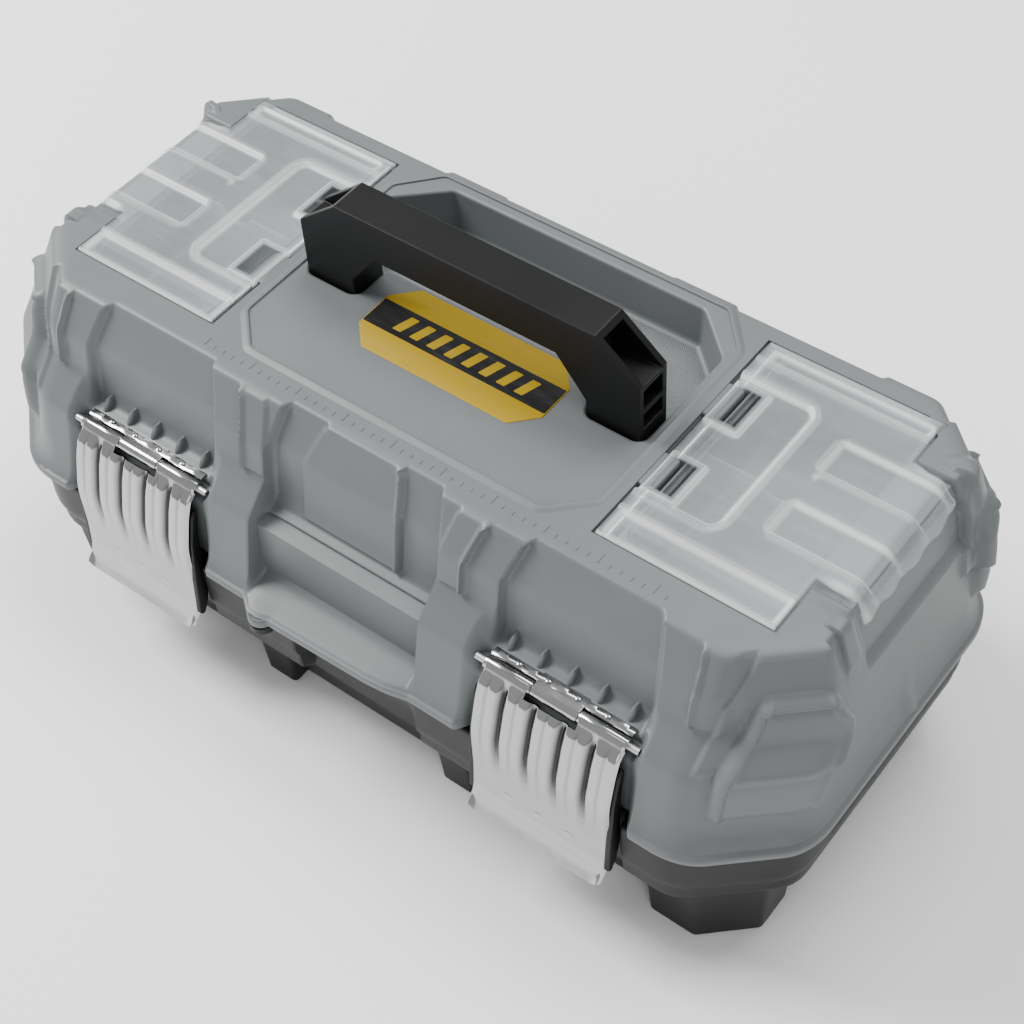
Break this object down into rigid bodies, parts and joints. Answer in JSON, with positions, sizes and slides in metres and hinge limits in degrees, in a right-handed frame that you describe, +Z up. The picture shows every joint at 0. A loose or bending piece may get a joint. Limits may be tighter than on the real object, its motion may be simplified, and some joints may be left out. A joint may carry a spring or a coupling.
{
  "type": "toolbox with tray",
  "caption": "Hinged toolbox with a lift-out tray, snap latches, a fold-down carry handle and two small-parts organizers under clear covers in the lid.",
  "frame": {"origin": "middle of the footprint on the ground, at the height of the feet", "axes": "+X along the length to the right, +Y to the back where the lid hinges, +Z up; the latches face -Y"},
  "size_m": [0.43, 0.2226, 0.2115],
  "materials": {
    "grey_plastic": "satin moulded polypropylene with fine grain",
    "black_plastic": "satin black moulded plastic",
    "handle_plastic": "fine-grained black moulded plastic",
    "clear_plastic": "milky translucent polypropylene",
    "divider_plastic": "satin light grey moulded plastic",
    "latch_steel": "bright plated pressed sheet steel",
    "pin_steel": "drawn wire, bright zinc plated",
    "label_print": "printed film, satin"
  },
  "bodies": {
    "base": {"base_tub": "black_plastic"},
    "lid": {"lid_shell": "grey_plastic", "label_plate": "label_print", "lid_hinge_pin_left": "pin_steel", "lid_hinge_pin_right": "pin_steel", "handle_pin_left": "pin_steel", "handle_pin_right": "pin_steel", "latch_leaf_left": "latch_steel", "latch_leaf_right": "latch_steel", "latch_pin_left": "pin_steel", "latch_pin_right": "pin_steel", "organizer_rod_left": "pin_steel", "organizer_rod_right": "pin_steel", "organizer_divider_left": "divider_plastic", "organizer_divider_right": "divider_plastic"},
    "handle": {"carry_handle": "handle_plastic"},
    "latch_left": {"latch_cover_left": "latch_steel", "latch_lever_left": "black_plastic"},
    "latch_right": {"latch_cover_right": "latch_steel", "latch_lever_right": "black_plastic"},
    "organizer_left": {"organizer_cover_left": "clear_plastic"},
    "organizer_right": {"organizer_cover_right": "clear_plastic"},
    "tray": {"tray_body": "black_plastic", "tray_handle": "handle_plastic", "tray_divider_left": "divider_plastic", "tray_divider_middle": "divider_plastic", "tray_divider_right": "divider_plastic"}
  },
  "joints": [
    {"name": "lid_hinge", "type": "hinge", "parent": "base", "child": "lid", "pos_m": [0, 0.1072, 0.077], "axis": [1, 0, 0], "range_deg": [-105, 0]},
    {"name": "handle_pivot", "type": "hinge", "parent": "lid", "child": "handle", "pos_m": [0, 0.01075, 0.157], "axis": [1, 0, 0], "range_deg": [-90, 0]},
    {"name": "latch_left_pivot", "type": "hinge", "parent": "lid", "child": "latch_left", "pos_m": [-0.1109, -0.089, 0.1153], "axis": [1, 0, 0], "range_deg": [-100, 0]},
    {"name": "latch_right_pivot", "type": "hinge", "parent": "lid", "child": "latch_right", "pos_m": [0.1109, -0.089, 0.1153], "axis": [1, 0, 0], "range_deg": [-100, 0]},
    {"name": "organizer_left_hinge", "type": "hinge", "parent": "lid", "child": "organizer_left", "pos_m": [-0.102, 0.015, 0.163], "axis": [0, 1, 0], "range_deg": [0, 95]},
    {"name": "organizer_right_hinge", "type": "hinge", "parent": "lid", "child": "organizer_right", "pos_m": [0.102, 0.015, 0.163], "axis": [0, 1, 0], "range_deg": [-95, 0]},
    {"name": "tray_lift", "type": "slide", "parent": "base", "child": "tray", "axis": [0, 0, 1], "range_m": [0, 0.012]}
  ]
}
